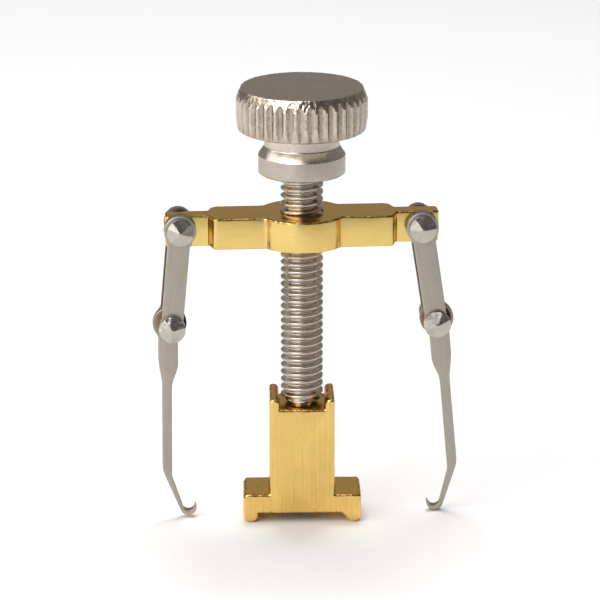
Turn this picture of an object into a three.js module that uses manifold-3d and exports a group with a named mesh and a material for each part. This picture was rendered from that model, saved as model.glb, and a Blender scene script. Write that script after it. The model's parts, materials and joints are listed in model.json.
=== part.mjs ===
// Miniature two-arm hook puller: a knurled thumb screw turns in a T-shaped pressure foot and
// drives a tapped crossbar, which carries two hinged arms, each ending in a hooked finger.
// Millimetres, +Z up. The origin is on the screw axis, at the level the foot stands on.
// +X runs along the crossbar to the right arm, and the front of the tool faces -Y.

import * as THREE from 'three';
import { mergeVertices } from 'three/addons/utils/BufferGeometryUtils.js';
import Module from 'manifold-3d';

const wasm = await Module();
wasm.setup();

// Thread, M4 coarse
const PITCH = 0.7;
const CREST_RADIUS = 1.95;
const ROOT_RADIUS = 1.53;
const CREST_FLAT = PITCH / 8;
const ROOT_FLAT = PITCH / 4;
const FLANK = (PITCH - CREST_FLAT - ROOT_FLAT) / 2;
const TAP_CLEARANCE = 0.07;
const THREAD_SEGMENTS = 16;

// Thumb screw, from the top of the knob down
const TOOL_HEIGHT = 40.85;
const KNOB_RADIUS = 5.96;
const KNOB_HEIGHT = 3.95;
const KNOB_TOP_CHAMFER = [0.46, 1.1];
const KNOB_LOW_CHAMFER = [0.5, 1.3];
const FLUTES = 39;
const FLUTE_DEPTH = 0.24;
const NECK_RADIUS = 3.4;
const NECK_HEIGHT = 1.5;
const COLLAR_RADIUS = 3.97;
const COLLAR_HEIGHT = 1.75;
const COLLAR_CHAMFER = 0.2;
const FLARE_HEIGHT = 0.8;
const HEAD_HEIGHT = KNOB_HEIGHT + NECK_HEIGHT + FLARE_HEIGHT + COLLAR_HEIGHT;
const COLLAR_FACE = TOOL_HEIGHT - HEAD_HEIGHT;
const THREAD_END = 11.25;
const HELIX_START = 10.3;
const JOURNAL_RADIUS = 1.2;
const PEEN_RADIUS = 1.7;
const PEEN_HEIGHT = 0.45;

// Pressure foot
const FOOT_HALF_WIDTH = 5.44;
const FOOT_DEPTH = 5.0;
const COLUMN_HALF_WIDTH = 2.98;
const WEB_UNDERSIDE = 0.85;
const WING_TOP = 2.72;
const LEFT_WING_CORNER = 0.5;
const RIGHT_WING_CORNER = 0.2;
const LOBE_RADIUS = 0.68;
const RIGHT_LOBE_REACH = 1.75;
const NOTCH_FLOOR = 10.95;
const NOTCH_HALF_WIDTH = 2.1;
const PRONG_TOP = 11.93;
const PRONG_INNER_ROUND = 0.5;
const PRONG_OUTER_ROUND = 0.25;
const FOOT_BACK_ROUND = 0.8;
const COUNTERBORE_RADIUS = 2.1;
const COUNTERBORE_TOP = 2.7;
const WASHER_HEIGHT = 0.5;

// Crossbar
const CARRIAGE_YAW = 3.2;
const BAR_HALF_LENGTH = 12.45;
const BAR_TOP = 29.2;
const BAR_HEIGHT = 2.92;
const HUB_RADIUS = 4.1;
const HUB_FILLET = 0.45;
const BAR_HALF_DEPTH = 2.25;
const STEP_X = 8.55;
const STEP_SLANT = 16;
const STEP_FRONT_ROUND = 0.48;
const STEP_BACK_ROUND = 0.9;
const TONGUE_THICKNESS = 1.75;
const TONGUE_ROUND = 0.35;

// Links, hooks and rivets
const LINK_LENGTH = 9.17;
const LINK_THICKNESS = 1.0;
const LINK_GAP = 2.0;
const LINK_UPPER_EYE = 1.45;
const LINK_LOWER_EYE = 1.15;
const LINK_HALF_WIDTH = 0.97;
const RIVET_RADIUS = 0.5;
const RIVET_HOLE = 0.56;
const RIVET_HEAD_RADIUS = 1.22;
const RIVET_RIM = 0.4;
const RIVET_CONE = 0.45;
const RIVET_FACETS = 6;
const CAP_BORE = 0.35;
const FACE_GAP = 0.05;
const SPACER_RADIUS = 1.1;
const SPACER_THICKNESS = 0.5;
const HOOK_THICKNESS = 0.8;
const HOOK_HEAD_RADIUS = 1.55;

// Where each arm hangs on the crossbar, and how each side is set at rest, in degrees away
// from straight down, outward positive. The two rivet holes aren't drilled quite alike.
const SIDES = [
  { name: 'left', sign: -1, pivotX: 11.17, pivotZ: 28.0, armAngle: 5.1, hookAngle: 0.3 },
  { name: 'right', sign: 1, pivotX: 10.87, pivotZ: 27.85, armAngle: 8.7, hookAngle: 5.3 },
];

// Facets of round pieces
const KNOB_SEGMENTS = 39;
const ROUND_SEGMENTS = 24;
const PIN_SEGMENTS = 16;
const CORNER_STEPS = 3;

const GOLD = { color: 0xd9b964, metalness: 1.0, roughness: 0.25 };
const NICKEL = { color: 0xb6ada3, metalness: 1.0, roughness: 0.3 };
const STEEL = { color: 0xa59b8e, metalness: 1.0, roughness: 0.4 };

// Turns a geometry into a closed manifold-3d solid.
function solidOf(geometry) {
  const bare = geometry.clone();
  bare.deleteAttribute('normal');
  bare.deleteAttribute('uv');
  const merged = mergeVertices(bare, 1e-5);
  const index = merged.index.array;
  const triangles = [];
  for (let i = 0; i < index.length; i += 3) {
    const [a, b, c] = [index[i], index[i + 1], index[i + 2]];
    if (a !== b && b !== c && c !== a) triangles.push(a, b, c);
  }
  return new wasm.Manifold(new wasm.Mesh({
    numProp: 3,
    vertProperties: new Float32Array(merged.attributes.position.array),
    triVerts: new Uint32Array(triangles),
  }));
}

function geometryOf(solid) {
  const mesh = solid.getMesh();
  const geometry = new THREE.BufferGeometry();
  geometry.setAttribute('position', new THREE.BufferAttribute(mesh.vertProperties, 3));
  geometry.setIndex(new THREE.BufferAttribute(mesh.triVerts, 1));
  geometry.computeVertexNormals();
  return geometry;
}

// A profile of [radius, z] points turned about the Z axis.
function turned(profile, segments) {
  const points = profile.map(([r, z]) => new THREE.Vector2(r, z));
  return solidOf(new THREE.LatheGeometry(points, segments).rotateX(Math.PI / 2));
}

// An outline of [x, z] points, extruded along Y and centred on y.
function plate(outline, thickness, y = 0) {
  const shape = new THREE.Shape(outline.map(([x, z]) => new THREE.Vector2(x, z)));
  const geometry = new THREE.ExtrudeGeometry(shape, { depth: thickness, bevelEnabled: false });
  return solidOf(geometry.rotateX(Math.PI / 2).translate(0, y + thickness / 2, 0));
}

// A round pin or hole along Y.
function pinAlongY(radius, length, x, y, z, sides = PIN_SEGMENTS) {
  return solidOf(new THREE.CylinderGeometry(radius, radius, length, sides).translate(x, y, z));
}

// Points of an arc about (x, z), angles in degrees from +X towards +Z.
function arc(x, z, radius, from, to, steps = CORNER_STEPS) {
  const points = [];
  for (let i = 0; i <= steps; i += 1) {
    const angle = THREE.MathUtils.degToRad(from + (to - from) * i / steps);
    points.push([x + radius * Math.cos(angle), z + radius * Math.sin(angle)]);
  }
  return points;
}

// A right-hand screw thread as one closed solid. Its rows of points follow the helix,
// so row k after a full turn is row k + 4.
function helicalThread(bottom, turns, growth) {
  const offsets = [0, ROOT_FLAT, ROOT_FLAT + FLANK, PITCH - FLANK];
  const radii = [ROOT_RADIUS, ROOT_RADIUS, CREST_RADIUS, CREST_RADIUS];
  const last = 4 * turns;
  const n = THREAD_SEGMENTS;
  const positions = [];
  for (let k = 0; k <= last; k += 1) {
    for (let j = 0; j < n; j += 1) {
      const angle = 2 * Math.PI * j / n;
      const radius = radii[k % 4] + growth;
      const z = bottom + Math.floor(k / 4) * PITCH + offsets[k % 4] + PITCH * j / n;
      positions.push(radius * Math.cos(angle), radius * Math.sin(angle), z);
    }
  }
  const at = (k, j) => (j < n ? k * n + j : (k + 4) * n);
  const triangles = [];
  for (let j = 0; j < n; j += 1) {
    const rows = j < n - 1 ? last : last - 4;
    for (let k = 0; k < rows; k += 1) {
      triangles.push(at(k, j), at(k, j + 1), at(k + 1, j + 1));
      triangles.push(at(k, j), at(k + 1, j + 1), at(k + 1, j));
    }
  }
  const lowLoop = [...Array(n).keys()].map((j) => at(0, j));
  lowLoop.push(at(4, 0), at(3, 0), at(2, 0), at(1, 0));
  const highLoop = [...Array(n).keys()].map((j) => at(last, j));
  highLoop.push(at(last - 1, n - 1), at(last - 2, n - 1), at(last - 3, n - 1), at(last - 4, n - 1));
  const lowCentre = positions.length / 3;
  positions.push(0, 0, bottom + PITCH / 2);
  positions.push(0, 0, bottom + turns * PITCH + PITCH / 2);
  lowLoop.forEach((a, i) => triangles.push(lowLoop[(i + 1) % lowLoop.length], a, lowCentre));
  highLoop.forEach((a, i) => triangles.push(a, highLoop[(i + 1) % highLoop.length], lowCentre + 1));
  const geometry = new THREE.BufferGeometry();
  geometry.setAttribute('position', new THREE.Float32BufferAttribute(positions, 3));
  geometry.setIndex(triangles);
  return solidOf(geometry);
}

// The knob's rim: wide hollow flutes all round, with a narrow ridge between each two.
function flutedRim(bottom, height) {
  const outline = [];
  for (let i = 0; i < FLUTES; i += 1) {
    for (const [part, radius] of [[0, 0], [0.25, 0.25], [0.5, 1], [0.75, 0.25]]) {
      const angle = 2 * Math.PI * (i + part) / FLUTES;
      const r = KNOB_RADIUS - (1 - radius) * FLUTE_DEPTH;
      outline.push(new THREE.Vector2(r * Math.cos(angle), r * Math.sin(angle)));
    }
  }
  const options = { depth: height, bevelEnabled: false };
  return solidOf(new THREE.ExtrudeGeometry(new THREE.Shape(outline), options).translate(0, 0, bottom));
}

function thumbScrew() {
  const knobBottom = TOOL_HEIGHT - KNOB_HEIGHT;
  const knob = turned([
    [0, knobBottom],
    [KNOB_RADIUS - KNOB_LOW_CHAMFER[0], knobBottom],
    [KNOB_RADIUS + 0.05, knobBottom + KNOB_LOW_CHAMFER[1]],
    [KNOB_RADIUS + 0.05, TOOL_HEIGHT - KNOB_TOP_CHAMFER[1]],
    [KNOB_RADIUS - KNOB_TOP_CHAMFER[0], TOOL_HEIGHT],
    [0, TOOL_HEIGHT],
  ], KNOB_SEGMENTS).intersect(flutedRim(knobBottom, KNOB_HEIGHT));
  const flareBottom = COLLAR_FACE + COLLAR_HEIGHT;
  const neck = turned([
    [0, COLLAR_FACE],
    [COLLAR_RADIUS - COLLAR_CHAMFER, COLLAR_FACE],
    [COLLAR_RADIUS, COLLAR_FACE + COLLAR_CHAMFER],
    [COLLAR_RADIUS, flareBottom],
    [NECK_RADIUS + 0.12, flareBottom + 0.45 * FLARE_HEIGHT],
    [NECK_RADIUS, flareBottom + FLARE_HEIGHT],
    [NECK_RADIUS, knobBottom + 0.1],
    [0, knobBottom + 0.1],
  ], ROUND_SEGMENTS);
  const threadTurns = Math.ceil((COLLAR_FACE - HELIX_START) / PITCH) + 1;
  const envelope = turned([
    [0, THREAD_END],
    [ROOT_RADIUS, THREAD_END],
    [CREST_RADIUS + 0.1, THREAD_END + 0.5],
    [CREST_RADIUS + 0.1, COLLAR_FACE + 0.1],
    [0, COLLAR_FACE + 0.1],
  ], ROUND_SEGMENTS);
  const thread = helicalThread(HELIX_START, threadTurns, 0).intersect(envelope);
  const peenBottom = COUNTERBORE_TOP - WASHER_HEIGHT - 2 * FACE_GAP - PEEN_HEIGHT;
  const journal = turned([
    [0, peenBottom],
    [PEEN_RADIUS - 0.35, peenBottom],
    [PEEN_RADIUS, peenBottom + PEEN_HEIGHT / 2],
    [PEEN_RADIUS, peenBottom + PEEN_HEIGHT],
    [JOURNAL_RADIUS, peenBottom + PEEN_HEIGHT],
    [JOURNAL_RADIUS, THREAD_END + 0.1],
    [0, THREAD_END + 0.1],
  ], PIN_SEGMENTS);
  return knob.add(neck).add(thread).add(journal);
}

// One side of the foot as [distance from the axis, z], from the notch floor to the web.
// The left lobe is round; the right one has a sloping inner flank.
function footSide(wingCorner, lobeAngle, lobeReach) {
  const inner = PRONG_INNER_ROUND;
  const outer = PRONG_OUTER_ROUND;
  const lobeX = FOOT_HALF_WIDTH - LOBE_RADIUS;
  const lobeZ = LOBE_RADIUS * Math.cos(Math.PI / 10);
  return [
    [NOTCH_HALF_WIDTH, NOTCH_FLOOR],
    ...arc(NOTCH_HALF_WIDTH + inner, PRONG_TOP - inner, inner, 180, 90),
    ...arc(COLUMN_HALF_WIDTH - outer, PRONG_TOP - outer, outer, 90, 0, 2),
    [COLUMN_HALF_WIDTH, WING_TOP],
    ...arc(FOOT_HALF_WIDTH - wingCorner, WING_TOP - wingCorner, wingCorner, 90, 0),
    ...arc(lobeX, lobeZ, LOBE_RADIUS, 0, lobeAngle, Math.round(-lobeAngle / 36)),
    [FOOT_HALF_WIDTH - lobeReach, WEB_UNDERSIDE],
  ];
}

function pressureFoot() {
  const right = footSide(RIGHT_WING_CORNER, -144, RIGHT_LOBE_REACH);
  const left = footSide(LEFT_WING_CORNER, -180, 2 * LOBE_RADIUS).map(([x, z]) => [-x, z]);
  const body = plate([...right, ...left.reverse()], FOOT_DEPTH).intersect(roundedBack());
  const bore = turned([
    [0, -1],
    [COUNTERBORE_RADIUS, -1],
    [COUNTERBORE_RADIUS, COUNTERBORE_TOP],
    [JOURNAL_RADIUS + 0.07, COUNTERBORE_TOP],
    [JOURNAL_RADIUS + 0.07, PRONG_TOP],
    [0, PRONG_TOP],
  ], PIN_SEGMENTS);
  return body.subtract(bore);
}

// The foot's outline from above: square corners at the front, rounded ones at the back.
function roundedBack() {
  const x = FOOT_HALF_WIDTH + FACE_GAP;
  const y = FOOT_DEPTH / 2;
  const front = [[-x, -y - 1], [x, -y - 1]];
  const round = FOOT_BACK_ROUND;
  const right = arc(x - round, y - round, round, 0, 90);
  const left = arc(round - x, y - round, round, 90, 180);
  const shape = new THREE.Shape([...front, ...right, ...left].map((point) => new THREE.Vector2(...point)));
  return solidOf(new THREE.ExtrudeGeometry(shape, { depth: TOOL_HEIGHT, bevelEnabled: false }));
}

// A flat ring from the profile of its wall.
function ring(innerRadius, outerRadius, bottom, height) {
  return turned([
    [innerRadius, bottom],
    [outerRadius, bottom],
    [outerRadius, bottom + height],
    [innerRadius, bottom + height],
    [innerRadius, bottom],
  ], PIN_SEGMENTS);
}

function retainingWasher() {
  const bottom = COUNTERBORE_TOP - FACE_GAP - WASHER_HEIGHT;
  return ring(JOURNAL_RADIUS + 0.07, COUNTERBORE_RADIUS - 0.1, bottom, WASHER_HEIGHT);
}

// One quarter of the crossbar seen from above, from the hub's side to the end of the tongue.
// The block's end face slants, and its corner is rounded.
function crossbarQuarter(cornerRound) {
  const reach = HUB_RADIUS + HUB_FILLET;
  const filletY = BAR_HALF_DEPTH + HUB_FILLET;
  const filletX = Math.sqrt(reach * reach - filletY * filletY);
  const hubAngle = THREE.MathUtils.radToDeg(Math.atan2(filletY, filletX));
  const tongue = TONGUE_THICKNESS / 2;
  const slant = THREE.MathUtils.degToRad(STEP_SLANT);
  const cornerY = BAR_HALF_DEPTH - cornerRound;
  const cornerX = STEP_X - (cornerRound + (cornerY - tongue) * Math.sin(slant)) / Math.cos(slant);
  return [
    ...arc(0, 0, HUB_RADIUS, 90, hubAngle, 5),
    ...arc(filletX, filletY, HUB_FILLET, 180 + hubAngle, 270, 3).slice(1),
    ...arc(cornerX, cornerY, cornerRound, 90, STEP_SLANT),
    [STEP_X, tongue],
    ...arc(BAR_HALF_LENGTH - TONGUE_ROUND, tongue - TONGUE_ROUND, TONGUE_ROUND, 90, 0),
  ];
}

function crossbar() {
  const back = crossbarQuarter(STEP_BACK_ROUND);
  const front = crossbarQuarter(STEP_FRONT_ROUND).map(([x, y]) => [x, -y]);
  const right = [...back, ...front.reverse()];
  const outline = [...right, ...right.map(([x, y]) => [-x, y]).reverse().slice(1, -1)];
  const shape = new THREE.Shape(outline.map(([x, y]) => new THREE.Vector2(x, y)));
  const blank = new THREE.ExtrudeGeometry(shape, { depth: BAR_HEIGHT, bevelEnabled: false });
  const bottom = BAR_TOP - BAR_HEIGHT;
  let bar = solidOf(blank.translate(0, 0, bottom));
  const turnsBelow = Math.floor((bottom - HELIX_START) / PITCH) - 2;
  const turnsInside = Math.ceil(BAR_HEIGHT / PITCH) + 3;
  const tapStart = HELIX_START + turnsBelow * PITCH;
  bar = bar.subtract(helicalThread(tapStart, turnsInside, TAP_CLEARANCE));
  const mouth = CREST_RADIUS + 0.25;
  for (const [face, into] of [[BAR_TOP, -1], [bottom, 1]]) {
    const profile = [[0, face - into * 0.2], [mouth + 0.2, face - into * 0.2], [mouth - 0.5, face + into * 0.5]];
    profile.push([0, face + into * 0.5]);
    bar = bar.subtract(turned(into > 0 ? profile : profile.reverse(), ROUND_SEGMENTS));
  }
  for (const side of SIDES) {
    bar = bar.subtract(pinAlongY(RIVET_HOLE, TONGUE_THICKNESS + 1, side.sign * side.pivotX, 0, side.pivotZ));
  }
  return bar;
}

// A link plate, its upper eye at the origin and its lower eye straight below.
function linkPlate(y) {
  const outline = [
    ...arc(0, 0, LINK_UPPER_EYE, 225, -45, 10),
    [LINK_HALF_WIDTH, -2.0],
    [LINK_HALF_WIDTH - 0.06, -LINK_LENGTH + 1.2],
    ...arc(0, -LINK_LENGTH, LINK_LOWER_EYE, 20, -200, 8),
    [-LINK_HALF_WIDTH + 0.06, -LINK_LENGTH + 1.2],
    [-LINK_HALF_WIDTH, -2.0],
  ];
  const blank = plate(outline, LINK_THICKNESS, y);
  const length = LINK_THICKNESS + 1;
  const upperHole = pinAlongY(RIVET_HOLE, length, 0, y, 0);
  const lowerHole = pinAlongY(RIVET_HOLE, length, 0, y, -LINK_LENGTH);
  return blank.subtract(upperHole).subtract(lowerHole);
}

// The hooked finger of the left arm. Its pivot is at the origin and its point turns to +X.
// The right arm's finger is the same plate turned over.
function hookPlate(sign) {
  const outline = [
    ...arc(-0.15, 0, HOOK_HEAD_RADIUS, -60, 227, 10),
    [-1.2, -3.7],
    [-0.86, -5.75],
    [-0.86, -14.2],
    [0.62, -17.72],
    ...arc(1.52, -17.86, 0.77, 200, 384, 6),
    ...arc(1.55, -17.6, 0.57, -10, -155, 4),
    [0.03, -14.87],
    [0.03, -5.8],
    [0.62, -4.25],
  ];
  const blank = plate(outline.map(([x, z]) => [-sign * x, z]), HOOK_THICKNESS);
  return blank.subtract(pinAlongY(RIVET_HOLE, HOOK_THICKNESS + 1, 0, 0, 0));
}

// A rivet head standing on the plane y = 0 and pointing to +Y: a round rim with a faceted cone.
function rivetHead() {
  const rim = pinAlongY(RIVET_HEAD_RADIUS, RIVET_RIM, 0, RIVET_RIM / 2, 0, ROUND_SEGMENTS);
  const cone = new THREE.CylinderGeometry(0.12, RIVET_HEAD_RADIUS, RIVET_CONE + 0.05, RIVET_FACETS);
  return rim.add(solidOf(cone.translate(0, RIVET_RIM + (RIVET_CONE - 0.05) / 2, 0)));
}

const HEAD_FACE = LINK_GAP / 2 + LINK_THICKNESS + FACE_GAP;

// The headed stud enters from the front, and its tail ends inside the cap at the back.
function rivetStud() {
  const tail = HEAD_FACE + CAP_BORE - FACE_GAP;
  const shank = pinAlongY(RIVET_RADIUS, HEAD_FACE + 0.1 + tail, 0, (tail - HEAD_FACE - 0.1) / 2, 0);
  return turnedToFront(rivetHead()).add(shank);
}

function turnedToFront(head) {
  return head.rotate([0, 0, 180]).translate([0, -HEAD_FACE, 0]);
}

function rivetCap() {
  const head = rivetHead().translate([0, HEAD_FACE, 0]);
  return head.subtract(pinAlongY(RIVET_HOLE, 2 * CAP_BORE, 0, HEAD_FACE, 0));
}

function spacerWasher(side) {
  const y = side * (HOOK_THICKNESS / 2 + FACE_GAP + SPACER_THICKNESS / 2);
  const disc = pinAlongY(SPACER_RADIUS, SPACER_THICKNESS, 0, y, 0, ROUND_SEGMENTS);
  return disc.subtract(pinAlongY(RIVET_HOLE, 2, 0, y, 0));
}

function node(name, solid, look) {
  const mesh = new THREE.Mesh(geometryOf(solid), new THREE.MeshStandardMaterial(look));
  mesh.name = name;
  return mesh;
}

// The parts that turn about a lower pivot: the hooked finger and its two spacer washers.
function finger(side) {
  const group = new THREE.Group();
  group.add(node(`${side.name}_hook`, hookPlate(side.sign), STEEL));
  group.add(node(`${side.name}_front_washer`, spacerWasher(-1), NICKEL));
  group.add(node(`${side.name}_back_washer`, spacerWasher(1), NICKEL));
  group.position.z = -LINK_LENGTH;
  group.rotation.y = THREE.MathUtils.degToRad(side.sign * (side.armAngle - side.hookAngle));
  return group;
}

// One arm: two link plates, the rivets at both ends, and the finger.
function arm(side) {
  const group = new THREE.Group();
  const linkY = LINK_GAP / 2 + LINK_THICKNESS / 2;
  group.add(node(`${side.name}_front_link`, linkPlate(-linkY), STEEL));
  group.add(node(`${side.name}_back_link`, linkPlate(linkY), STEEL));
  for (const [end, z] of [['upper', 0], ['lower', -LINK_LENGTH]]) {
    const stud = node(`${side.name}_${end}_stud`, rivetStud(), NICKEL);
    const cap = node(`${side.name}_${end}_cap`, rivetCap(), NICKEL);
    stud.position.z = z;
    cap.position.z = z;
    group.add(stud, cap);
  }
  group.add(finger(side));
  group.position.set(side.sign * side.pivotX, 0, side.pivotZ);
  group.rotation.y = THREE.MathUtils.degToRad(-side.sign * side.armAngle);
  return group;
}

// The crossbar and both arms, which stand slightly turned about the screw.
function carriage() {
  const group = new THREE.Group();
  group.add(node('crossbar', crossbar(), GOLD));
  for (const side of SIDES) group.add(arm(side));
  group.rotation.z = THREE.MathUtils.degToRad(CARRIAGE_YAW);
  return group;
}

const puller = new THREE.Group();
puller.add(node('thumb_screw', thumbScrew(), NICKEL));
puller.add(node('pressure_foot', pressureFoot(), GOLD));
puller.add(node('retaining_washer', retainingWasher(), NICKEL));
puller.add(carriage());

export default puller;
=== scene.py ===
# Looks of a miniature two-arm hook puller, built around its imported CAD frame.
# Shapes are written in millimetres and put in place in metres.

import json
import math

import bmesh
import bpy
from mathutils import Matrix, Vector, noise


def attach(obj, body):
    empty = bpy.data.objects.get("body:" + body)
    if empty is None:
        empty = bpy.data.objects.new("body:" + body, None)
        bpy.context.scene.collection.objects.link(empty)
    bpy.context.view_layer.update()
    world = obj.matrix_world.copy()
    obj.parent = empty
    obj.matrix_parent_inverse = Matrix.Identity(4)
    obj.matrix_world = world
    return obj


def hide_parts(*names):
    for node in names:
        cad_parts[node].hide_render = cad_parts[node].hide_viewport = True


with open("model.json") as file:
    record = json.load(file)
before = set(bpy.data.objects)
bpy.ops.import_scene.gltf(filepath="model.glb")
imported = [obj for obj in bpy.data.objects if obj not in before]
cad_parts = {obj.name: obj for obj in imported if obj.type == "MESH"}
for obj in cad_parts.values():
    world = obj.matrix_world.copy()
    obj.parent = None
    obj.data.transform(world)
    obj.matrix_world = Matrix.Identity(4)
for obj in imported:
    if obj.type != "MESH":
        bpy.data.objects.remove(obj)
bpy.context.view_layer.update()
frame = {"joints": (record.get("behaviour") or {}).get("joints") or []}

MM = 0.001
JOINTS = {joint["name"]: joint for joint in frame["joints"]}

# Thread, M4 coarse
PITCH = 0.7
CREST_RADIUS = 1.95
ROOT_RADIUS = 1.53
HELIX_START = 10.3
THREAD_END = 11.25
THREAD_RUN_OUT = 0.25

# Thumb screw, from the top down
TOOL_TOP = 40.85
KNOB_TOP_RADIUS = 5.5
KNOB_RADIUS = 5.96
CHAMFER_BOTTOM = 39.75
KNOB_BOTTOM = 36.9
RIM_START = 0.91 * KNOB_RADIUS
RIM_STEP = 0.06
FLUTES = 39
FLUTE_DEPTH = 0.24
STEPS_PER_FLUTE = 20
RIDGE_WEAR = 0.14
NECK_RADIUS = 3.4
FLARE_TOP = 35.45
COLLAR_TOP = 34.6
COLLAR_RADIUS = 3.97
COLLAR_BOTTOM = 32.85
COLLAR_CHAMFER = 0.17
JOURNAL_RADIUS = 1.2
PEEN_RADIUS = 1.7
PEEN_HEIGHT = 0.45

# Pressure foot
FOOT_HALF_WIDTH = 5.44
FOOT_HALF_DEPTH = 2.5
COLUMN_HALF_WIDTH = 2.98
WEB_UNDERSIDE = 0.85
LEFT_LOBE_INNER = 4.08
RIGHT_LOBE_INNER = 4.45
RIGHT_FLANK_TOP = 3.6
WING_TOP = 2.72
NOTCH_FLOOR = 10.95
NOTCH_HALF_WIDTH = 2.1
PRONG_TOP = 11.93
FOOT_BACK_ROUND = 0.8
COUNTERBORE_RADIUS = 2.1
COUNTERBORE_TOP = 2.7
RETAINER_HEIGHT = 0.5

# Crossbar
BAR_HALF_LENGTH = 12.45
BAR_TOP = 29.2
BAR_BOTTOM = 26.28
BAR_HALF_DEPTH = 2.25
HUB_RADIUS = 4.1
HUB_FILLET = 0.45
STEP_X = 8.55
STEP_SLANT = 16
STEP_FRONT_ROUND = 0.48
STEP_BACK_ROUND = 0.9
TONGUE_HALF = 0.875
TAP_RADIUS = 1.96

# Links, fingers and rivets
LINK_LENGTH = 9.17
LINK_THICKNESS = 1.0
LINK_Y = 1.5
UPPER_EYE = 1.47
BACK_UPPER_EYE = 1.33
LOWER_EYE = 1.15
LINK_HALF_WIDTH = 1.0
HOOK_THICKNESS = 0.8
HOOK_HEAD_RADIUS = 1.55
RIVET_RADIUS = 0.5
RIVET_HEAD_RADIUS = 1.22
RIVET_RIM = 0.4
RIVET_PEAK = 0.45
RIVET_FACETS = 6
HEAD_FACE = 2.05
SPACER_RADIUS = 1.1
SPACER_THICKNESS = 0.5

# Gaps between pieces that turn on each other
FACE_GAP = 0.05
RIVET_CLEARANCE = 0.06
JOURNAL_CLEARANCE = 0.07
RETAINER_CLEARANCE = 0.1

# Unevenness of the plates' edges, the knob's upper chamfer and the rivet heads: how much,
# and how fine, where a larger number of waves is finer
EDGE_WANDER = 0.22
EDGE_WAVES = 1.7
CHAMFER_ROUGHNESS = 0.05
CHAMFER_WAVES = 4
HAMMER_WAVES = 2.6

# How each arm stands: its side of the screw, how many degrees outwards its finger hangs,
# and the turn, unevenness and hammer marks of its upper and its lower rivet heads
ARMS = {
    "left": {"sign": -1, "finger_angle": 0.3, "heads": ((5, 0.15, 0.004), (-16, 0.1, 0.04))},
    "right": {"sign": 1, "finger_angle": 5.3, "heads": ((-3, 0.15, 0.01), (-13, 0.2, 0.006))},
}


# ---------------------------------------------------------------- outlines


def arc(x, y, radius, start, end, step=6.0):
    """Points of an arc about (x, y), angles in degrees."""
    count = max(2, math.ceil(abs(end - start) / step))
    angles = [math.radians(start + (end - start) * i / count) for i in range(count + 1)]
    return [(x + radius * math.cos(a), y + radius * math.sin(a)) for a in angles]


def rounded(corners):
    """A closed outline from (x, y, radius) corners, each rounded by its own radius."""
    outline = []
    for i, (x, y, radius) in enumerate(corners):
        here = Vector((x, y))
        to_last = (Vector(corners[i - 1][:2]) - here).normalized()
        to_next = (Vector(corners[(i + 1) % len(corners)][:2]) - here).normalized()
        half = to_last.angle(to_next) / 2
        if radius == 0 or half > math.radians(89):
            outline.append((x, y))
            continue
        reach = radius / math.tan(half)
        centre = here + (to_last + to_next).normalized() * (radius / math.sin(half))
        first = here + to_last * reach - centre
        last = here + to_next * reach - centre
        turn = first.angle_signed(last)
        steps = max(2, math.ceil(abs(math.degrees(turn)) / 9))
        for k in range(steps + 1):
            angle = -turn * k / steps
            outline.append(tuple(centre + Matrix.Rotation(angle, 2) @ first))
    return outline


def inset(outline, distance):
    """The outline moved inwards by a distance; it runs anticlockwise."""
    moved = []
    count = len(outline)
    for i in range(count):
        here = Vector(outline[i])
        before = (here - Vector(outline[i - 1])).normalized()
        after = (Vector(outline[(i + 1) % count]) - here).normalized()
        normal = Vector((-before.y - after.y, before.x + after.x)).normalized()
        reach = max(0.5, normal.dot(Vector((-after.y, after.x))))
        moved.append(tuple(here + normal * (distance / reach)))
    return moved


def anticlockwise(outline):
    """The outline without repeated points, turned to run anticlockwise."""
    kept = [p for i, p in enumerate(outline) if (Vector(p) - Vector(outline[i - 1])).length > 1e-4]
    area = sum(a[0] * b[1] - b[0] * a[1] for a, b in zip(kept[-1:] + kept[:-1], kept))
    return kept if area > 0 else kept[::-1]


# ---------------------------------------------------------------- solids


def bridge(bm, low, high):
    """Faces between two rings of vertices, either of which may be a single one."""
    if len(low) == 1 or len(high) == 1:
        centre, ring = (low, high) if len(low) == 1 else (high, low)
        return [bm.faces.new((centre[0], ring[i - 1], ring[i])) for i in range(len(ring))]
    return [bm.faces.new((low[i - 1], low[i], high[i], high[i - 1])) for i in range(len(low))]


def smoothed(bm):
    """The solid with smooth shading and all its faces pointing out."""
    for face in bm.faces:
        face.smooth = True
    bmesh.ops.recalc_face_normals(bm, faces=bm.faces)
    return bm


def dense(outline, step):
    """The closed outline with extra points along its longer stretches."""
    points = []
    for a, b in zip(outline[-1:] + outline[:-1], outline):
        first = Vector(a)
        last = Vector(b)
        pieces = max(1, math.ceil((last - first).length / step))
        points += [tuple(first.lerp(last, k / pieces)) for k in range(1, pieces + 1)]
    return points


def unmoved(x, y, z):
    """Leaves a point where it is."""
    return (x, y, z)


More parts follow.
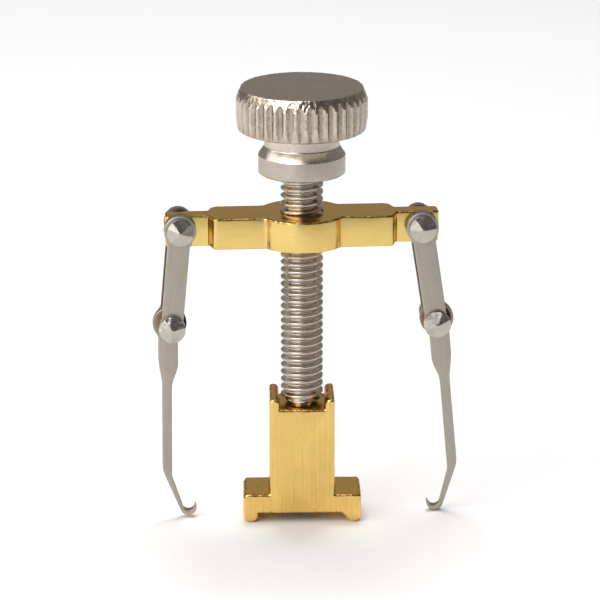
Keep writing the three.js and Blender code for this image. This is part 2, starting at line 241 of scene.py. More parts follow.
def slab(outline, low, high, edge, holes=(), place=unmoved, levels=()):
    """A plate with rounded edges: an outline in x and y, from low to high along z.

    The edges' rounding grows and shrinks a little, as hand polishing leaves it. Holes are
    inner outlines with small edges. place(x, y, z) may move each point. Levels are extra
    heights that get a ring of vertices.
    """
    bm = bmesh.new()
    steps = 5
    hole_share = 0.1
    quarter = [math.pi / 2 * i / steps for i in range(steps + 1)]
    rounding = [(edge * (1 - math.sin(a)), edge * (1 - math.cos(a))) for a in quarter]
    rings = [(low + rise, inwards) for rise, inwards in rounding[::-1]]
    rings += [(z, 0.0) for z in sorted(levels)]
    rings += [(high - rise, inwards) for rise, inwards in rounding]
    caps = [[], []]
    middle = (low + high) / 2
    loops = [anticlockwise(dense(outline, 0.25))]
    loops += [anticlockwise(hole)[::-1] for hole in holes]
    for loop in loops:
        share = hole_share if caps[0] else 1.0
        made = []
        for z, distance in rings:
            end = low if z < middle else high
            ring = []
            for (x, y), (inner_x, inner_y) in zip(loop, inset(loop, edge)):
                where = Vector((EDGE_WAVES * x, EDGE_WAVES * y, 3 * end))
                worn = 1 + EDGE_WANDER * noise.noise(where)
                inwards = worn * share * distance / edge
                level = end + (z - end) * (worn if abs(z - end) <= edge else 1)
                ring.append(bm.verts.new(place(
                    x + (inner_x - x) * inwards, y + (inner_y - y) * inwards, level)))
            made.append(ring)
        for lower, upper in zip(made, made[1:]):
            for face in bridge(bm, lower, upper):
                face.smooth = True
        caps[0].append(made[0])
        caps[1].append(made[-1])
    for rims in caps:
        if len(rims) == 1:
            bm.faces.new(rims[0])
            continue
        edges = [bm.edges.get((rim[i - 1], rim[i])) for rim in rims for i in range(len(rim))]
        bmesh.ops.triangle_fill(bm, edges=edges, use_beauty=True, use_dissolve=False)
    bmesh.ops.recalc_face_normals(bm, faces=bm.faces)
    return bm


def upright(outline, front, back, edge, place=unmoved, levels=()):
    """A slab whose outline is in x and z and whose thickness runs along y."""
    return slab(outline, front, back, edge, (), lambda x, z, y: place(x, y, z), levels)


def turned(profile, segments, radius_at=None):
    """A solid of revolution about z from (radius, z) points, closed on the axis or on itself.

    radius_at(angle, radius, z) may change the radius, as knurling does.
    """
    bm = bmesh.new()
    rings = []
    for radius, z in profile:
        if radius < 1e-6:
            rings.append([bm.verts.new((0, 0, z))])
            continue
        ring = []
        for i in range(segments):
            angle = 2 * math.pi * i / segments
            r = radius_at(angle, radius, z) if radius_at else radius
            ring.append(bm.verts.new((r * math.cos(angle), r * math.sin(angle), z)))
        rings.append(ring)
    pairs = list(zip(rings, rings[1:]))
    if len(rings[0]) > 1:
        pairs.append((rings[-1], rings[0]))
    for low, high in pairs:
        bridge(bm, low, high)
    return smoothed(bm)


def joined(first, second):
    """Puts the second solid's faces into the first."""
    mesh = bpy.data.meshes.new("part")
    second.to_mesh(mesh)
    second.free()
    first.from_mesh(mesh)
    bpy.data.meshes.remove(mesh)
    return first


def cut_away(solid, cutter):
    """The first solid less the second."""
    pair = []
    for bm in (solid, cutter):
        mesh = bpy.data.meshes.new("cut")
        bm.to_mesh(mesh)
        bm.free()
        pair.append(bpy.data.objects.new("cut", mesh))
        bpy.context.scene.collection.objects.link(pair[-1])
    cut = pair[0].modifiers.new("cut", "BOOLEAN")
    cut.operation = "DIFFERENCE"
    cut.solver = "EXACT"
    cut.object = pair[1]
    bpy.context.view_layer.update()
    result = pair[0].evaluated_get(bpy.context.evaluated_depsgraph_get()).to_mesh()
    left = bmesh.new()
    left.from_mesh(result)
    for piece in pair:
        bpy.data.meshes.remove(piece.data)
    return left


def store_grain(mesh):
    """Keeps each vertex's own place in millimetres, which the materials' grain follows."""
    grain = mesh.attributes.new("grain", "FLOAT_VECTOR", "POINT")
    grain.data.foreach_set("vector", [c for v in mesh.vertices for c in v.co])


def finish(name, bm, place, look, body, *nodes, sharp=35):
    """Makes the object of a solid in millimetres, puts it in place and hands it to its body."""
    bmesh.ops.remove_doubles(bm, verts=bm.verts, dist=1e-5)
    mesh = bpy.data.meshes.new(name)
    bm.to_mesh(mesh)
    bm.free()
    store_grain(mesh)
    mesh.transform(Matrix.Scale(MM, 4) @ place)
    mesh.set_sharp_from_angle(angle=math.radians(sharp))
    piece = bpy.data.objects.new(name, mesh)
    bpy.context.scene.collection.objects.link(piece)
    mesh.materials.append(look["material"])
    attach(piece, body)
    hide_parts(*nodes)
    return piece


# ---------------------------------------------------------------- materials


def node_tree(name):
    """A new material, its node tree and its shader."""
    material = bpy.data.materials.new(name)
    material.use_nodes = True
    return material, material.node_tree, material.node_tree.nodes["Principled BSDF"]


def add(tree, kind, **settings):
    """A new node, its settings and its inputs filled in by name."""
    node = tree.nodes.new(kind)
    for key, value in settings.items():
        if hasattr(node, key):
            setattr(node, key, value)
        else:
            node.inputs[key].default_value = value
    return node


def grain_noise(tree, scale, detail=3.0, stretch=(1, 1, 1), rough=0.55):
    """Noise in the piece's own millimetres; stretch squeezes it across the grain."""
    place = add(tree, "ShaderNodeAttribute", attribute_name="grain")
    size = add(tree, "ShaderNodeMapping")
    size.inputs["Scale"].default_value = stretch
    texture = add(tree, "ShaderNodeTexNoise", Scale=scale, Detail=detail, Roughness=rough)
    tree.links.new(place.outputs["Vector"], size.inputs["Vector"])
    tree.links.new(size.outputs["Vector"], texture.inputs["Vector"])
    return texture.outputs["Fac"]


def coordinate(tree, axis):
    """One of the piece's own coordinates in millimetres."""
    place = add(tree, "ShaderNodeAttribute", attribute_name="grain")
    parts = add(tree, "ShaderNodeSeparateXYZ")
    tree.links.new(place.outputs["Vector"], parts.inputs["Vector"])
    return parts.outputs[axis]


def distance_from(tree, axis):
    """Distance from one of the piece's own axes in millimetres."""
    place = add(tree, "ShaderNodeAttribute", attribute_name="grain")
    flat = add(tree, "ShaderNodeVectorMath", operation="MULTIPLY")
    flat.inputs[1].default_value = (1, 0, 1) if axis == "Y" else (1, 1, 0)
    tree.links.new(place.outputs["Vector"], flat.inputs[0])
    radius = add(tree, "ShaderNodeVectorMath", operation="LENGTH")
    tree.links.new(flat.outputs["Vector"], radius.inputs[0])
    return radius.outputs["Value"]


def spread(tree, value, low, high, source=(0.3, 0.7)):
    """Maps a value's source range onto low to high, and goes no further than either."""
    node = add(tree, "ShaderNodeMapRange")
    for key, number in zip(("From Min", "From Max", "To Min", "To Max"), (*source, low, high)):
        node.inputs[key].default_value = number
    tree.links.new(value, node.inputs["Value"])
    return node.outputs["Result"]


def mixed(tree, value, first, second):
    """A colour that goes from the first to the second as the value goes from 0 to 1."""
    node = add(tree, "ShaderNodeMix", data_type="RGBA")
    node.inputs["A"].default_value = (*first, 1)
    node.inputs["B"].default_value = (*second, 1)
    tree.links.new(value, node.inputs["Factor"])
    return node.outputs["Result"]


def combined(tree, first, second, operation):
    """Two values put together by a sum or a product."""
    node = add(tree, "ShaderNodeMath", operation=operation)
    tree.links.new(first, node.inputs[0])
    tree.links.new(second, node.inputs[1])
    return node.outputs["Value"]


def bump(tree, height, depth):
    """Adds a bump, its depth in millimetres, on top of those that the shader has."""
    normal = tree.nodes["Principled BSDF"].inputs["Normal"]
    node = add(tree, "ShaderNodeBump", Strength=1.0, Distance=depth * MM)
    tree.links.new(height, node.inputs["Height"])
    if normal.is_linked:
        tree.links.new(normal.links[0].from_socket, node.inputs["Normal"])
    tree.links.new(node.outputs["Normal"], normal)
    return node


def metal(name, slot, *, pale, deep, rough, streak, streak_depth, wave_depth, pits,
          rim=(0.9, 0.9, 0.9)):
    """A metal with a fine grain, slow waves, small pits and patches of two tones.

    The grain runs along the axis in which streak is smallest. Rough is the range of the
    roughness, the three depths are in millimetres, and rim is the tint at grazing angles.
    """
    material, tree, shader = node_tree(name)
    shader.inputs["Metallic"].default_value = 1.0
    shader.inputs["Specular Tint"].default_value = (*rim, 1)
    lines = grain_noise(tree, 1.0, 4.0, streak)
    patches = grain_noise(tree, 0.55, 3.0)
    tone = combined(tree, spread(tree, patches, 0.0, 0.4), spread(tree, lines, 0.0, 0.6), "ADD")
    tree.links.new(mixed(tree, tone, deep, pale), shader.inputs["Base Color"])
    dull = combined(tree, spread(tree, lines, *rough), spread(tree, patches, -0.03, 0.03), "ADD")
    tree.links.new(dull, shader.inputs["Roughness"])
    bump(tree, lines, streak_depth)
    bump(tree, grain_noise(tree, 0.35, 1.0), wave_depth)
    bump(tree, grain_noise(tree, 9.0, 2.0), pits)
    return {"material": material, "slot": slot}


GOLD_RIM = (0.95, 0.74, 0.6)
FOOT_GOLD = metal(
    "foot_gold", "gold_plate", pale=(0.97, 0.66, 0.215), deep=(0.76, 0.495, 0.145),
    rough=(0.2, 0.32), streak=(4, 4, 0.1), streak_depth=0.004, wave_depth=0.03, pits=0.0005,
    rim=GOLD_RIM)
BAR_GOLD = metal(
    "bar_gold", "gold_plate", pale=(0.80, 0.595, 0.212), deep=(0.70, 0.50, 0.158),
    rough=(0.14, 0.24), streak=(0.6, 5, 5), streak_depth=0.0006, wave_depth=0.06, pits=0.0005,
    rim=GOLD_RIM)
NICKEL = metal(
    "satin_nickel", "nickel_plate", pale=(0.68, 0.61, 0.525), deep=(0.52, 0.46, 0.39),
    rough=(0.18, 0.3), streak=(2.5, 2.5, 2.5), streak_depth=0.0008, wave_depth=0.02, pits=0.003,
    rim=(0.82, 0.78, 0.74))
THREAD_NICKEL = metal(
    "thread_nickel", "nickel_plate", pale=(0.62, 0.55, 0.47), deep=(0.39, 0.345, 0.295),
    rough=(0.15, 0.27), streak=(1.5, 1.5, 12), streak_depth=0.001, wave_depth=0.02, pits=0.001)
LINK_STEEL, HOOK_STEEL = [metal(
    name, "arm_steel", pale=(0.46, 0.41, 0.355), deep=(0.37, 0.33, 0.285),
    rough=(0.34, 0.46), streak=(4, 4, 0.3), streak_depth=0.003, wave_depth=0.03, pits=0.002)
    for name in ("link_steel", "hook_steel")]
RIVET_STEEL = metal(
    "rivet_steel", "rivet_steel", pale=(0.55, 0.51, 0.465), deep=(0.43, 0.40, 0.36),
    rough=(0.18, 0.3), streak=(3, 3, 3), streak_depth=0.0006, wave_depth=0.008, pits=0.0008)


def tint(tree, mask, colour):
    """Multiplies the colour where the mask is 1."""
    base = tree.nodes["Principled BSDF"].inputs["Base Color"]
    mix = add(tree, "ShaderNodeMix", data_type="RGBA", blend_type="MULTIPLY")
    mix.inputs["B"].default_value = (*colour, 1)
    tree.links.new(base.links[0].from_socket, mix.inputs["A"])
    tree.links.new(mask, mix.inputs["Factor"])
    tree.links.new(mix.outputs["Result"], base)


def knurl_wear(tree):
    """Darkens the hollows of the knurling in patches and pits the knob's rim."""
    radius = distance_from(tree, "Z")
    on_rim = spread(tree, radius, 0.0, 1.0, (KNOB_TOP_RADIUS - 0.02, KNOB_TOP_RADIUS + 0.08))
    hollow = spread(tree, radius, 1.0, 0.0, (KNOB_RADIUS - 0.2, KNOB_RADIUS - 0.02))
    stain = spread(tree, grain_noise(tree, 2.2, 4.0, (1, 1, 0.4)), 0.35, 1.0)
    dark = combined(tree, combined(tree, on_rim, hollow, "MULTIPLY"), stain, "MULTIPLY")
    tint(tree, dark, (0.56, 0.52, 0.45))
    pits = bump(tree, grain_noise(tree, 4.5, 3.0, (1, 1, 0.7)), 0.04)
    tree.links.new(on_rim, pits.inputs["Strength"])


def greyer_collar(tree):
    """Leaves the collar a little greyer than the knob and the neck."""
    below = spread(tree, coordinate(tree, "Z"), 1.0, 0.0, (COLLAR_TOP - 0.08, COLLAR_TOP))
    tint(tree, below, (0.79, 0.8, 0.82))


def painted_edge_shade(tree):
    """Painted shade in broken brown lines along the rounding of the upper edges, standing in for a
    dark reflection.
    """
    surface = add(tree, "ShaderNodeNewGeometry")
    parts = add(tree, "ShaderNodeSeparateXYZ")
    tree.links.new(surface.outputs["Normal"], parts.inputs["Vector"])
    up = parts.outputs["Z"]
    not_side = spread(tree, up, 0.0, 1.0, (0.1, 0.3))
    not_top = spread(tree, up, 1.0, 0.0, (0.9, 0.99))
    edge = combined(tree, not_side, not_top, "MULTIPLY")
    broken = spread(tree, grain_noise(tree, 1.9, 4.0, rough=0.7), 0.0, 1.0, (0.44, 0.54))
    tint(tree, combined(tree, edge, broken, "MULTIPLY"), (0.34, 0.24, 0.16))


def foot_painted_shade(tree):
    """Painted shade: leaves the foot's column a little darker than its wings, so the foot looks
    lighter towards the bottom.
    """
    above = spread(tree, coordinate(tree, "Z"), 0.0, 1.0, (2.5, 7.5))
    tint(tree, above, (0.9, 0.91, 0.93))


def painted_shade_between_plates(tree):
    """Painted shade: darkens the inner faces of the links, where the plates shade each other."""
    depth = add(tree, "ShaderNodeMath", operation="ABSOLUTE")
    tree.links.new(coordinate(tree, "Y"), depth.inputs[0])
    tint(tree, spread(tree, depth.outputs["Value"], 1.0, 0.0, (1.05, 1.55)), (0.3, 0.26, 0.24))


def painted_shade_round_pivot(tree):
    """Painted shade: darkens the finger's head between the links, most of all at its right side,
    where it is near black.
    """
    radius = distance_from(tree, "Y")
    tint(tree, spread(tree, radius, 1.0, 0.0, (1.3, 1.8)), (0.66, 0.54, 0.43))
    right = spread(tree, coordinate(tree, "X"), 0.0, 1.0, (0.6, 1.0))
    on_head = spread(tree, radius, 1.0, 0.0, (1.38, 1.52))
    tint(tree, combined(tree, right, on_head, "MULTIPLY"), (0.12, 0.1, 0.09))


knurl_wear(NICKEL["material"].node_tree)
greyer_collar(NICKEL["material"].node_tree)
# painted shade: dark reflection lines along the foot's upper edges
painted_edge_shade(FOOT_GOLD["material"].node_tree)
# painted shade: the foot's column darker than its wings
foot_painted_shade(FOOT_GOLD["material"].node_tree)
# painted shade: dark reflection lines along the crossbar's upper edges
painted_edge_shade(BAR_GOLD["material"].node_tree)
# painted shade between the link plates
painted_shade_between_plates(LINK_STEEL["material"].node_tree)
# painted shade on the finger's head between the links
painted_shade_round_pivot(HOOK_STEEL["material"].node_tree)


# ---------------------------------------------------------------- thumb screw


def flute(angle, radius, z):
    """Knurling: wide hollow flutes between narrow worn ridges, run out on the knob's chamfers.

    The upper chamfer is left slightly uneven, as knurling leaves it.
    """
    if radius < RIM_START or z < KNOB_BOTTOM - 0.01:
        return radius
    turn = angle * FLUTES / (2 * math.pi)
    across = 2 * abs(turn - round(turn))
    depth = FLUTE_DEPTH * (1 + 0.15 * math.sin(7.1 * (round(turn) % FLUTES)))
    hollow = 1 - across ** 2.2
    if z > CHAMFER_BOTTOM + 0.05:
        x = CHAMFER_WAVES * radius * math.cos(angle)
        y = CHAMFER_WAVES * radius * math.sin(angle)
        radius += CHAMFER_ROUGHNESS * noise.noise(Vector((x, y, 3 * z)))
    return min(radius, KNOB_RADIUS + RIDGE_WEAR - (depth + RIDGE_WEAR) * hollow)


def knob_profile():
    """The head from its top to its underside as (radius, z), with finely divided chamfers."""
    corners = rounded([
        (0.0, TOOL_TOP, 0), (KNOB_TOP_RADIUS, TOOL_TOP, 0.1), (KNOB_RADIUS, CHAMFER_BOTTOM, 0.3),
        (KNOB_RADIUS, 38.2, 0.5), (5.8, 37.02, 0.08), (5.6, KNOB_BOTTOM, 0.05),
        (NECK_RADIUS, KNOB_BOTTOM, 0.12), (NECK_RADIUS, FLARE_TOP, 0.3),
        (COLLAR_RADIUS, COLLAR_TOP, 0.04), (COLLAR_RADIUS, COLLAR_BOTTOM + 0.1, 0.12),
        (COLLAR_RADIUS - COLLAR_CHAMFER, COLLAR_BOTTOM, 0.1), (0.0, COLLAR_BOTTOM, 0),
    ])
    profile = [corners[0]]
    for point in corners[1:]:
        last = Vector(profile[-1])
        on_rim = min(last.x, point[0]) > RIM_START
        pieces = max(1, round((Vector(point) - last).length / RIM_STEP)) if on_rim else 1
        profile += [tuple(last.lerp(Vector(point), k / pieces)) for k in range(1, pieces + 1)]
    return profile


def screw_thread():
    """The threaded shank: one continuous helical surface.

    Its section is a wave, made steeper and a little wider at the crests, then clipped.
    """
    segments = 48
    rows = 14
    phase = 0.625
    steepness = 1.35
    crest_share = 0.1
    turns = math.ceil((COLLAR_BOTTOM + 0.4 - HELIX_START) / PITCH)
    bm = bmesh.new()
    grid = []
    middle = (CREST_RADIUS + ROOT_RADIUS) / 2
    swing = (CREST_RADIUS - ROOT_RADIUS) / 2
    for i in range(turns * segments + 1):
        angle = 2 * math.pi * i / segments
        column = []
        for k in range(rows + 1):
            height = HELIX_START + PITCH * (i / segments + k / rows)
            wave = steepness * math.cos(2 * math.pi * (k / rows - phase)) + crest_share
            radius = middle + swing * max(-1, min(1, wave))
            fade = min(1, max(0, (height - THREAD_END) / THREAD_RUN_OUT))
            radius = ROOT_RADIUS + (radius - ROOT_RADIUS) * fade
            height = max(height, THREAD_END)
            column.append(bm.verts.new((radius * math.cos(angle), radius * math.sin(angle), height)))
        grid.append(column)
    for first, second in zip(grid, grid[1:]):
        for k in range(rows):
            face = bm.faces.new((first[k], second[k], second[k + 1], first[k + 1]))
            face.smooth = True
    return bm


def thumb_screw():
    """Head, thread, and the journal with its peened end inside the foot."""
    head = turned(knob_profile(), FLUTES * STEPS_PER_FLUTE, flute)
    finish("thumb_screw_head", head, Matrix(), NICKEL, "screw", "thumb_screw", sharp=40)
    finish("thumb_screw_thread", screw_thread(), Matrix(), THREAD_NICKEL, "screw",
           "thumb_screw", sharp=60)
    peen_bottom = COUNTERBORE_TOP - RETAINER_HEIGHT - 2 * FACE_GAP - PEEN_HEIGHT
    peen_top = peen_bottom + PEEN_HEIGHT
    shoulder = THREAD_END + 0.02
    journal = rounded([
        (0.0, peen_bottom, 0), (PEEN_RADIUS, peen_bottom, 0.3), (PEEN_RADIUS, peen_top, 0.05),
        (JOURNAL_RADIUS, peen_top, 0.02), (JOURNAL_RADIUS, shoulder, 0.02), (0.0, shoulder, 0),
    ])
    finish("thumb_screw_journal", turned(journal, 64), Matrix(), THREAD_NICKEL, "screw",
           "thumb_screw")


def retaining_washer():
    """The washer in the counterbore that holds the screw's journal in the foot."""
    bottom = COUNTERBORE_TOP - FACE_GAP - RETAINER_HEIGHT
    top = bottom + RETAINER_HEIGHT
    inner = JOURNAL_RADIUS + JOURNAL_CLEARANCE
    outer = COUNTERBORE_RADIUS - RETAINER_CLEARANCE
    wall = rounded([
        (inner, bottom, 0.05), (outer, bottom, 0.05), (outer, top, 0.05), (inner, top, 0.05),
    ])
    finish("retaining_washer_ring", turned(wall, 64), Matrix(), RIVET_STEEL, "foot",
           "retaining_washer")


# ---------------------------------------------------------------- pressure foot


def foot_outline():
    """The foot from the front. Its right lobe has a sloping inner flank, its left one a steep one."""
    return rounded([
        (NOTCH_HALF_WIDTH, NOTCH_FLOOR, 0.1), (NOTCH_HALF_WIDTH, PRONG_TOP, 0.52),
        (COLUMN_HALF_WIDTH, PRONG_TOP, 0.32), (COLUMN_HALF_WIDTH, WING_TOP, 0.14),
        (FOOT_HALF_WIDTH, WING_TOP, 0.32), (FOOT_HALF_WIDTH, 0, 0.66),
        (RIGHT_LOBE_INNER, 0, 0.45), (RIGHT_FLANK_TOP, WEB_UNDERSIDE, 0.3),
        (-LEFT_LOBE_INNER, WEB_UNDERSIDE, 0.06), (-LEFT_LOBE_INNER, 0, 0.6),
        (-FOOT_HALF_WIDTH, 0, 0.68), (-FOOT_HALF_WIDTH, WING_TOP, 0.45),
        (-COLUMN_HALF_WIDTH, WING_TOP, 0.14), (-COLUMN_HALF_WIDTH, PRONG_TOP, 0.32),
        (-NOTCH_HALF_WIDTH, PRONG_TOP, 0.52), (-NOTCH_HALF_WIDTH, NOTCH_FLOOR, 0.1),
    ])


def rounded_back(x, y, z):
    """Pulls the wings' back corners in, as seen from above."""
    into = y - (FOOT_HALF_DEPTH - FOOT_BACK_ROUND)
    if into <= 0:
        return (x, y, z)
    reach = math.sqrt(max(0, FOOT_BACK_ROUND ** 2 - into ** 2))
    limit = FOOT_HALF_WIDTH - FOOT_BACK_ROUND + reach
    return (max(-limit, min(limit, x)), y, z)


def pressure_foot():
    """The foot, bored for the screw's journal and counterbored from below."""
    depth = FOOT_HALF_DEPTH
    levels = [depth - FOOT_BACK_ROUND * (1 - math.sin(math.radians(a))) for a in range(0, 50, 7)]
    body = upright(foot_outline(), -depth, depth, 0.25, rounded_back, levels)
    hole = JOURNAL_RADIUS + JOURNAL_CLEARANCE
    bore = rounded([
        (0, -1, 0), (COUNTERBORE_RADIUS, -1, 0), (COUNTERBORE_RADIUS, COUNTERBORE_TOP, 0),
        (hole, COUNTERBORE_TOP, 0), (hole, PRONG_TOP + 1, 0), (0, PRONG_TOP + 1, 0),
    ])
    finish("pressure_foot_body", cut_away(body, turned(bore, 64)), Matrix(), FOOT_GOLD, "foot",
           "pressure_foot")


# ---------------------------------------------------------------- crossbar


def crossbar_quarter(corner_round):
    """A quarter of the crossbar from above, from the hub to the end of the tongue."""
    reach = HUB_RADIUS + HUB_FILLET
    fillet_y = BAR_HALF_DEPTH + HUB_FILLET
    fillet_x = math.sqrt(reach ** 2 - fillet_y ** 2)
    hub_angle = math.degrees(math.atan2(fillet_y, fillet_x))
    slant = math.radians(STEP_SLANT)
    corner_y = BAR_HALF_DEPTH - corner_round
    inwards = corner_round + (corner_y - TONGUE_HALF) * math.sin(slant)
    corner_x = STEP_X - inwards / math.cos(slant)
    tip = 0.3
    root = 0.1
    return [
        *arc(0, 0, HUB_RADIUS, 90, hub_angle, 4),
        *arc(fillet_x, fillet_y, HUB_FILLET, 180 + hub_angle, 270, 8),
        *arc(corner_x, corner_y, corner_round, 90, STEP_SLANT, 7),
        *arc(STEP_X + root, TONGUE_HALF + root, root, 180 + STEP_SLANT, 270, 20),
        *arc(BAR_HALF_LENGTH - tip, TONGUE_HALF - tip, tip, 90, 0, 10),
    ]


def crossbar(yaw):
    """The whole crossbar, its back corners rounder than its front ones."""
    back = crossbar_quarter(STEP_BACK_ROUND)
    front = [(x, -y) for x, y in crossbar_quarter(STEP_FRONT_ROUND)][::-1]
    right = [*back, *front]
    outline = right + [(-x, y) for x, y in right][::-1]
    bore = arc(0, 0, TAP_RADIUS, 0, 354, 6)
    body = slab(outline, BAR_BOTTOM, BAR_TOP, 0.2, [bore])
    finish("crossbar_body", body, Matrix.Rotation(yaw, 4, "Z"), BAR_GOLD, "crossbar", "crossbar")


# ---------------------------------------------------------------- arms


def link_plate(upper_eye):
    """A link from the front, its upper eye at the origin."""
    neck = 0.6
    side = LINK_HALF_WIDTH + neck
    neck_z = -1.55
    return [
        *arc(0, 0, upper_eye, -38, 218),
        *arc(-side, neck_z, neck, 40, 0, 10),
        *arc(0, -LINK_LENGTH, LOWER_EYE, 212, 328),
        *arc(side, neck_z, neck, 180, 140, 10),
    ]


def hook_outline():
    """The left finger from the front, its pivot at the origin and its point towards +X."""
    head = [(x, y, 0) for x, y in arc(-0.15, 0, HOOK_HEAD_RADIUS, -56, 222)]
    tip = [(x, y, 0) for x, y in arc(1.52, -17.86, 0.77, 205, 378)]
    throat = [(x, y, 0) for x, y in arc(1.55, -17.6, 0.57, -8, -150)]
    return rounded([
        *head, (-1.2, -1.5, 0.5), (-1.2, -3.7, 4), (-0.86, -5.75, 4), (-0.86, -14.2, 2.5),
        (0.62, -17.72, 0.1), *tip, (2.2, -17.54, 0), *throat, (0.03, -14.87, 1.5),
        (0.03, -5.8, 3), (0.62, -4.25, 2.5), (0.62, -1.7, 0.3),
    ])


def rivet_head(turn, tilt, dents):
    """A low head standing on y = 0 and pointing to +Y: a round rim and hand-struck facets.

    Turn is in degrees, tilt makes the facets uneven and dents is the depth of hammer marks.
    """
    profile_rings = 14
    segments = 96
    bm = bmesh.new()
    slope = RIVET_PEAK / RIVET_HEAD_RADIUS
    rings = []
    for i in range(profile_rings + 1):
        radius = RIVET_HEAD_RADIUS * math.sin(math.pi / 2 * i / profile_rings)
        ring = []
        for j in range(segments if i else 1):
            angle = 2 * math.pi * j / segments
            x = radius * math.cos(angle)
            z = radius * math.sin(angle)
            fall = 0.0
            for k in range(RIVET_FACETS):
                facing = math.radians(360 / RIVET_FACETS * (k + 0.5) + turn)
                steep = slope * (1 + tilt * math.sin(2.1 * k + turn))
                fall = max(fall, steep * (x * math.cos(facing) + z * math.sin(facing)))
            top = RIVET_RIM + RIVET_PEAK - math.hypot(fall, 0.03) + 0.03
            top += dents * noise.noise(Vector((HAMMER_WAVES * x, HAMMER_WAVES * z, turn)))
            ring.append(bm.verts.new((x, top, z)))
        rings.append(ring)
    edge = rings[-1]
    base = [bm.verts.new((v.co.x, 0, v.co.z)) for v in edge]
    for low, high in zip(rings, rings[1:]):
        bridge(bm, low, high)
    bridge(bm, edge, base)
    bm.faces.new(base)
    return smoothed(bm)


def rivet(name, place, body, turn, tilt, dents):
    """A headed stud from the front and the cap that closes it at the back."""
    stud = rivet_head(turn, tilt, dents)
    bmesh.ops.transform(stud, matrix=Matrix.Rotation(math.pi, 4, "Z"), verts=stud.verts)
    bmesh.ops.translate(stud, vec=(0, -HEAD_FACE, 0), verts=stud.verts)
    front = -HEAD_FACE - 0.1
    back = HEAD_FACE + 0.3
    shank = turned(rounded([
        (0, front, 0), (RIVET_RADIUS, front, 0), (RIVET_RADIUS, back, 0.05), (0, back, 0),
    ]), 32)
    bmesh.ops.rotate(shank, matrix=Matrix.Rotation(-math.pi / 2, 3, "X"), verts=shank.verts)
    finish(f"{name}_stud_front", joined(stud, shank), place, RIVET_STEEL, body,
           f"{name}_stud", sharp=25)
    cap = rivet_head(-turn, tilt, dents)
    bmesh.ops.translate(cap, vec=(0, HEAD_FACE, 0), verts=cap.verts)
    finish(f"{name}_cap_back", cap, place, RIVET_STEEL, body, f"{name}_cap", sharp=25)


def spacer(name, side, place, body):
    """A spacer washer beside a finger's head; side is -1 in front of it and 1 behind."""
    inner = RIVET_RADIUS + RIVET_CLEARANCE
    low = HOOK_THICKNESS / 2 + FACE_GAP
    high = low + SPACER_THICKNESS
    wall = rounded([
        (inner, low, 0.03), (SPACER_RADIUS, low, 0.05), (SPACER_RADIUS, high, 0.05),
        (inner, high, 0.03),
    ])
    ring = turned(wall, 64)
    bmesh.ops.rotate(ring, matrix=Matrix.Rotation(-side * math.pi / 2, 3, "X"), verts=ring.verts)
    finish(f"{name}_ring", ring, place, RIVET_STEEL, body, name)


def arm(side, yaw, sign, finger_angle, heads):
    """One arm: two links, two rivets, the hooked finger and its spacer washers."""
    upper = Vector(JOINTS[f"{side}_arm_swing"]["pos_m"])
    lower = Vector(JOINTS[f"{side}_hook_swing"]["pos_m"])
    across = (lower - upper) @ Vector((math.cos(yaw), math.sin(yaw), 0))
    arm_angle = math.atan2(abs(across), upper.z - lower.z)
    turn = Matrix.Rotation(yaw, 4, "Z")
    link_tilt = Matrix.Rotation(-sign * arm_angle, 4, "Y")
    finger_tilt = Matrix.Rotation(-sign * math.radians(finger_angle), 4, "Y")
    link_place = Matrix.Translation(upper / MM) @ turn @ link_tilt
    lower_place = Matrix.Translation(lower / MM) @ turn @ link_tilt
    finger_place = Matrix.Translation(lower / MM) @ turn @ finger_tilt
    half = LINK_THICKNESS / 2
    for name, y, eye in (("front", -LINK_Y, UPPER_EYE), ("back", LINK_Y, BACK_UPPER_EYE)):
        plate = upright(link_plate(eye), y - half, y + half, 0.09)
        finish(f"{side}_{name}_link_plate", plate, link_place, LINK_STEEL, f"{side}_arm",
               f"{side}_{name}_link")
    rivet(f"{side}_upper", link_place, f"{side}_arm", *heads[0])
    rivet(f"{side}_lower", lower_place, f"{side}_arm", *heads[1])
    hook = [(-sign * x, z) for x, z in hook_outline()]
    plate = upright(hook, -HOOK_THICKNESS / 2, HOOK_THICKNESS / 2, 0.07)
    finish(f"{side}_hook_finger", plate, finger_place, HOOK_STEEL, f"{side}_finger", f"{side}_hook")
    spacer(f"{side}_front_washer", -1, finger_place, f"{side}_finger")
    spacer(f"{side}_back_washer", 1, finger_place, f"{side}_finger")


# ---------------------------------------------------------------- stage

TOOL_MIDDLE = Vector((0, 0, 0.02))
ROOM_FRONT = (0.11, 0.11, 0.11, 1)
ROOM_BACK = (0.34, 0.325, 0.325, 1)


def floor():
    """A pale matt floor, 8 m square."""
    mesh = bpy.data.meshes.new("floor")
    half = 4.0
    corners = [(-half, -half, 0), (half, -half, 0), (half, half, 0), (-half, half, 0)]
    mesh.from_pydata(corners, [], [(0, 1, 2, 3)])
    ground = bpy.data.objects.new("floor", mesh)
    bpy.context.scene.collection.objects.link(ground)
    material, tree, shader = node_tree("pale_floor")
    shader.inputs["Base Color"].default_value = (0.93, 0.93, 0.93, 1)
    shader.inputs["Roughness"].default_value = 0.9
    shader.inputs["Specular IOR Level"].default_value = 0.1
    mesh.materials.append(material)


def area_light(name, azimuth, elevation, distance, size, power):
    """A soft box aimed at the middle of the tool; azimuth 0 is in front of it.

    Angles are in degrees, distance and size in metres, power in watts.
    """
    a = math.radians(azimuth)
    e = math.radians(elevation)
    direction = Vector((math.sin(a) * math.cos(e), -math.cos(a) * math.cos(e), math.sin(e)))
    light = bpy.data.lights.new(name, "AREA")
    light.shape = "RECTANGLE"
    light.size, light.size_y = size
    light.energy = power
    lamp = bpy.data.objects.new(name, light)
    lamp.location = TOOL_MIDDLE + direction * distance
    lamp.rotation_euler = direction.to_track_quat("Z", "Y").to_euler()
    bpy.context.scene.collection.objects.link(lamp)
    return lamp


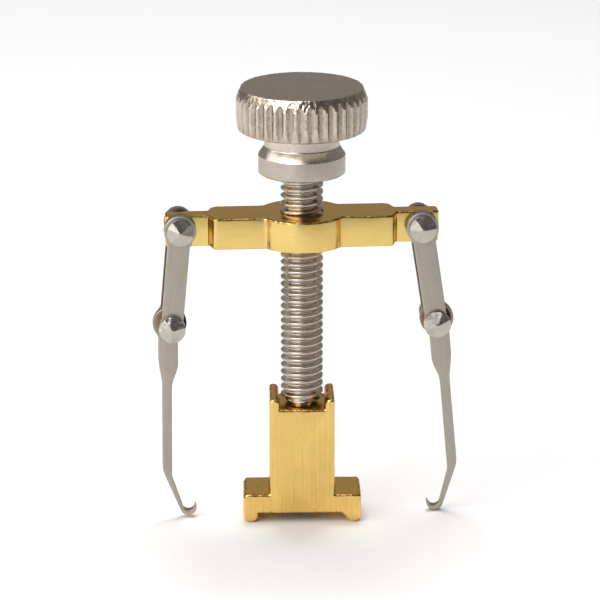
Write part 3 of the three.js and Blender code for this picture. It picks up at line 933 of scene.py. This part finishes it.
def studio():
    """A dim room in front of the tool and a lighter one behind it, and six soft boxes.

    The back light and the front fill don't show in reflections, and the glints show
    nowhere else.
    """
    world = bpy.data.worlds.new("studio")
    world.use_nodes = True
    bpy.context.scene.world = world
    tree = world.node_tree
    background = tree.nodes["Background"]
    where = add(tree, "ShaderNodeTexCoord")
    parts = add(tree, "ShaderNodeSeparateXYZ")
    tree.links.new(where.outputs["Generated"], parts.inputs["Vector"])
    ramp = add(tree, "ShaderNodeValToRGB")
    ramp.color_ramp.elements[0].color = ROOM_FRONT
    ramp.color_ramp.elements[1].color = ROOM_BACK
    backwards = spread(tree, parts.outputs["Y"], 0.0, 1.0, (-0.9, 0.9))
    tree.links.new(backwards, ramp.inputs["Fac"])
    tree.links.new(ramp.outputs["Color"], background.inputs["Color"])
    background.inputs["Strength"].default_value = 1.0
    area_light("soft_box", -66, 30, 0.3, (0.5, 0.26), 0.68)
    area_light("top_box", -10, 80, 0.27, (0.16, 0.1), 0.05)
    for lamp in (area_light("back_light", 175, 68, 0.42, (0.25, 0.25), 1.3),
                 area_light("front_fill", -40, 55, 0.2, (0.15, 0.1), 0.07)):
        lamp.visible_glossy = False
    for glint in (area_light("high_glint", -37, 43, 0.36, (0.32, 0.26), 0.86),
                  area_light("low_glint", -26, 5.5, 0.36, (0.14, 0.09), 0.085)):
        glint.visible_diffuse = False
    bpy.context.scene.view_settings.view_transform = "Standard"


def camera():
    """A long lens in front of the tool and a little above it."""
    azimuth = math.radians(-1.25)
    elevation = math.radians(17)
    target = Vector((-0.163, 0, 20.72)) * MM
    distance = 357 * MM
    across = math.cos(elevation)
    back = Vector((math.sin(azimuth) * across, -math.cos(azimuth) * across, math.sin(elevation)))
    lens = bpy.data.cameras.new("camera")
    lens.lens = 234
    lens.sensor_width = 36
    lens.clip_start = 0.01
    view = bpy.data.objects.new("camera", lens)
    view.location = target + back * distance
    view.rotation_euler = back.to_track_quat("Z", "Y").to_euler()
    bpy.context.scene.collection.objects.link(view)
    bpy.context.scene.camera = view


# ---------------------------------------------------------------- the whole tool

swing_axis = JOINTS["left_arm_swing"]["axis"]
carriage_yaw = math.atan2(-swing_axis[0], swing_axis[1])
thumb_screw()
retaining_washer()
pressure_foot()
crossbar(carriage_yaw)
for side, setting in ARMS.items():
    arm(side, carriage_yaw, **setting)
floor()
studio()
camera()
